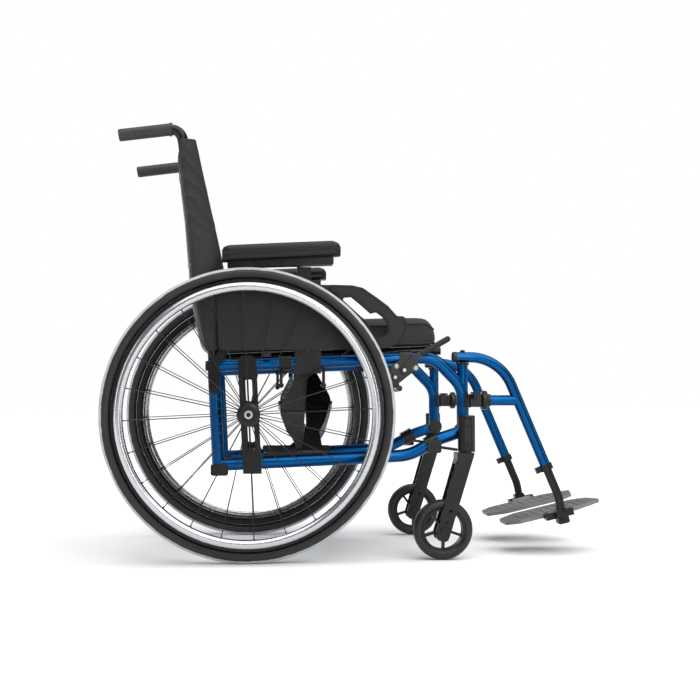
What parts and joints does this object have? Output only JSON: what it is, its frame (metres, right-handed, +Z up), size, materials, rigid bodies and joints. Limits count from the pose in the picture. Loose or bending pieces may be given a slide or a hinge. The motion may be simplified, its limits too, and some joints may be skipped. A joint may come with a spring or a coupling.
{
  "type": "manual wheelchair",
  "caption": "Folding manual wheelchair with scissor cross brace, large rear wheels with hand rims, swivelling front casters, swing-away footrests, armrests and push handles.",
  "frame": {"origin": "on the floor at the middle of the chair's length and width", "axes": "+X forwards to the footplates, +Y to the user's left, +Z up"},
  "size_m": [1.0548, 0.6024, 0.9],
  "materials": {
    "frame_blue": "gloss metallic",
    "black_metal": "satin powder coat",
    "brace_black": "satin",
    "black_plastic": "fine texture",
    "grip_rubber": "matte",
    "pad_skin": "soft grained skin",
    "tyre_rubber": "matte",
    "caster_rubber": "matte",
    "rim_black": "satin black anodised",
    "handrim_silver": "satin anodised",
    "spoke_steel": "dark",
    "hub_black": "satin black anodised",
    "axle_steel": "satin",
    "footplate_grey": "moulded texture",
    "black_nylon": "woven",
    "cushion_fabric": "woven"
  },
  "bodies": {
    "right_side": {"side_frame_right": "frame_blue", "frame_fittings_right": "black_metal", "axle_plate_right": "black_metal", "back_cane_right": "black_metal", "push_grip_right": "grip_rubber", "side_guard_right": "black_plastic", "caster_housing_right": "black_metal", "axle_pin_right": "axle_steel", "back_upholstery": "black_nylon"},
    "armrest_right": {"armrest_post_right": "black_metal", "armrest_pad_right": "pad_skin"},
    "lever_right": {"brake_lever_right": "black_metal"},
    "shoe_right": {"brake_shoe_right": "black_metal"},
    "fork_right": {"caster_fork_right": "black_metal"},
    "caster_right": {"caster_wheel_right": "black_plastic", "caster_tyre_right": "caster_rubber"},
    "wheel_right": {"rear_tyre_right": "tyre_rubber", "rear_rim_right": "rim_black", "handrim_right": "handrim_silver", "wheel_spokes_right": "spoke_steel", "wheel_hub_right": "hub_black"},
    "button_right": {"axle_button_right": "hub_black"},
    "hanger_right": {"hanger_tube_right": "frame_blue", "hanger_fittings_right": "black_metal"},
    "latch_right": {"hanger_latch_right": "black_plastic"},
    "footrest_right": {"footrest_tube_right": "black_metal"},
    "plate_right": {"footplate_right": "footplate_grey"},
    "left_side": {"side_frame_left": "frame_blue", "frame_fittings_left": "black_metal", "axle_plate_left": "black_metal", "back_cane_left": "black_metal", "push_grip_left": "grip_rubber", "side_guard_left": "black_plastic", "caster_housing_left": "black_metal", "axle_pin_left": "axle_steel"},
    "armrest_left": {"armrest_post_left": "black_metal", "armrest_pad_left": "pad_skin"},
    "lever_left": {"brake_lever_left": "black_metal"},
    "shoe_left": {"brake_shoe_left": "black_metal"},
    "fork_left": {"caster_fork_left": "black_metal"},
    "caster_left": {"caster_wheel_left": "black_plastic", "caster_tyre_left": "caster_rubber"},
    "wheel_left": {"rear_tyre_left": "tyre_rubber", "rear_rim_left": "rim_black", "handrim_left": "handrim_silver", "wheel_spokes_left": "spoke_steel", "wheel_hub_left": "hub_black"},
    "button_left": {"axle_button_left": "hub_black"},
    "hanger_left": {"hanger_tube_left": "frame_blue", "hanger_fittings_left": "black_metal"},
    "latch_left": {"hanger_latch_left": "black_plastic"},
    "footrest_left": {"footrest_tube_left": "black_metal"},
    "plate_left": {"footplate_left": "footplate_grey"},
    "arm_front": {"cross_arm_front": "brace_black", "centre_bolt": "axle_steel", "seat_rail_left": "black_metal"},
    "arm_rear": {"cross_arm_rear": "brace_black", "seat_rail_right": "black_metal"},
    "seat": {"seat_sling": "black_nylon", "seat_cushion": "cushion_fabric"}
  },
  "joints": [
    {"name": "fold", "type": "hinge", "parent": "right_side", "child": "arm_front", "pos_m": [-0.10544, -0.166, 0.214], "axis": [1, 0, 0], "range_deg": [0, 48.5], "deforming": ["seat_sling", "seat_cushion", "back_upholstery"]},
    {"name": "brace_centre", "type": "hinge", "parent": "arm_front", "child": "arm_rear", "pos_m": [-0.10544, 0, 0.31502], "axis": [1, 0, 0], "range_deg": [-97, 0]},
    {"name": "left_pivot", "type": "hinge", "parent": "arm_rear", "child": "left_side", "pos_m": [-0.10544, 0.166, 0.214], "axis": [1, 0, 0], "range_deg": [0, 48.5]},
    {"name": "seat_level", "type": "hinge", "parent": "arm_rear", "child": "seat", "pos_m": [-0.10544, -0.172, 0.41969], "axis": [1, 0, 0], "range_deg": [0, 48.5]},
    {"name": "wheel_spin_right", "type": "hinge", "parent": "right_side", "child": "wheel_right", "pos_m": [-0.23044, -0.256, 0.297], "axis": [0, 1, 0], "continuous": true},
    {"name": "axle_button_press_right", "type": "slide", "parent": "right_side", "child": "button_right", "axis": [0, 1, 0], "range_m": [0, 0.004], "stiffness_N_per_m": 300, "springref_m": -0.002},
    {"name": "caster_swivel_right", "type": "hinge", "parent": "right_side", "child": "fork_right", "pos_m": [0.21756, -0.224, 0.22], "axis": [0, 0, 1], "continuous": true},
    {"name": "caster_spin_right", "type": "hinge", "parent": "fork_right", "child": "caster_right", "pos_m": [0.16756, -0.224, 0.0615], "axis": [0, 1, 0], "continuous": true},
    {"name": "hanger_swing_right", "type": "hinge", "parent": "right_side", "child": "hanger_right", "pos_m": [0.21556, -0.193, 0.4], "axis": [0, 0, -1], "range_deg": [0, 95]},
    {"name": "hanger_latch_turn_right", "type": "hinge", "parent": "hanger_right", "child": "latch_right", "pos_m": [0.24056, -0.193, 0.341], "axis": [0, 0, -1], "range_deg": [0, 20], "stiffness_Nm_per_rad": 0.4, "springref_deg": -5.73},
    {"name": "footrest_height_right", "type": "slide", "parent": "hanger_right", "child": "footrest_right", "axis": [0.3908, 0, -0.9205], "range_m": [-0.02, 0.03]},
    {"name": "footplate_flip_right", "type": "hinge", "parent": "footrest_right", "child": "plate_right", "pos_m": [0.42356, -0.168, 0.086], "axis": [0.9744, 0, 0.225], "range_deg": [0, 90]},
    {"name": "armrest_height_right", "type": "slide", "parent": "right_side", "child": "armrest_right", "axis": [0, 0, 1], "range_m": [0, 0.08]},
    {"name": "brake_lever_right", "type": "hinge", "parent": "right_side", "child": "lever_right", "pos_m": [0.08956, -0.214, 0.388], "axis": [0, -1, 0], "range_deg": [0, 45]},
    {"name": "brake_shoe_right", "type": "hinge", "parent": "right_side", "child": "shoe_right", "pos_m": [0.07056, -0.214, 0.373], "axis": [0, 1, 0], "range_deg": [0, 11.8]},
    {"name": "wheel_spin_left", "type": "hinge", "parent": "left_side", "child": "wheel_left", "pos_m": [-0.23044, 0.256, 0.297], "axis": [0, 1, 0], "continuous": true},
    {"name": "axle_button_press_left", "type": "slide", "parent": "left_side", "child": "button_left", "axis": [0, -1, 0], "range_m": [0, 0.004], "stiffness_N_per_m": 300, "springref_m": -0.002},
    {"name": "caster_swivel_left", "type": "hinge", "parent": "left_side", "child": "fork_left", "pos_m": [0.21756, 0.224, 0.22], "axis": [0, 0, 1], "continuous": true},
    {"name": "caster_spin_left", "type": "hinge", "parent": "fork_left", "child": "caster_left", "pos_m": [0.16756, 0.224, 0.0615], "axis": [0, 1, 0], "continuous": true},
    {"name": "hanger_swing_left", "type": "hinge", "parent": "left_side", "child": "hanger_left", "pos_m": [0.21556, 0.193, 0.4], "axis": [0, 0, 1], "range_deg": [0, 95]},
    {"name": "hanger_latch_turn_left", "type": "hinge", "parent": "hanger_left", "child": "latch_left", "pos_m": [0.24056, 0.193, 0.341], "axis": [0, 0, 1], "range_deg": [0, 20], "stiffness_Nm_per_rad": 0.4, "springref_deg": -5.73},
    {"name": "footrest_height_left", "type": "slide", "parent": "hanger_left", "child": "footrest_left", "axis": [0.3908, 0, -0.9205], "range_m": [-0.02, 0.03]},
    {"name": "footplate_flip_left", "type": "hinge", "parent": "footrest_left", "child": "plate_left", "pos_m": [0.42356, 0.168, 0.086], "axis": [-0.9744, 0, -0.225], "range_deg": [0, 90]},
    {"name": "armrest_height_left", "type": "slide", "parent": "left_side", "child": "armrest_left", "axis": [0, 0, 1], "range_m": [0, 0.08]},
    {"name": "brake_lever_left", "type": "hinge", "parent": "left_side", "child": "lever_left", "pos_m": [0.08956, 0.214, 0.388], "axis": [0, -1, 0], "range_deg": [0, 45]},
    {"name": "brake_shoe_left", "type": "hinge", "parent": "left_side", "child": "shoe_left", "pos_m": [0.07056, 0.214, 0.373], "axis": [0, 1, 0], "range_deg": [0, 11.8]}
  ],
  "couplings": [
    {"joint": "brace_centre", "follows": "fold", "ratio": -2},
    {"joint": "left_pivot", "follows": "fold", "ratio": 1},
    {"joint": "seat_level", "follows": "fold", "ratio": 1},
    {"joint": "footplate_flip_right", "follows": "fold", "ratio": 1.8557},
    {"joint": "brake_shoe_right", "follows": "brake_lever_right", "ratio": 0.26222},
    {"joint": "footplate_flip_left", "follows": "fold", "ratio": 1.8557},
    {"joint": "brake_shoe_left", "follows": "brake_lever_left", "ratio": 0.26222}
  ]
}
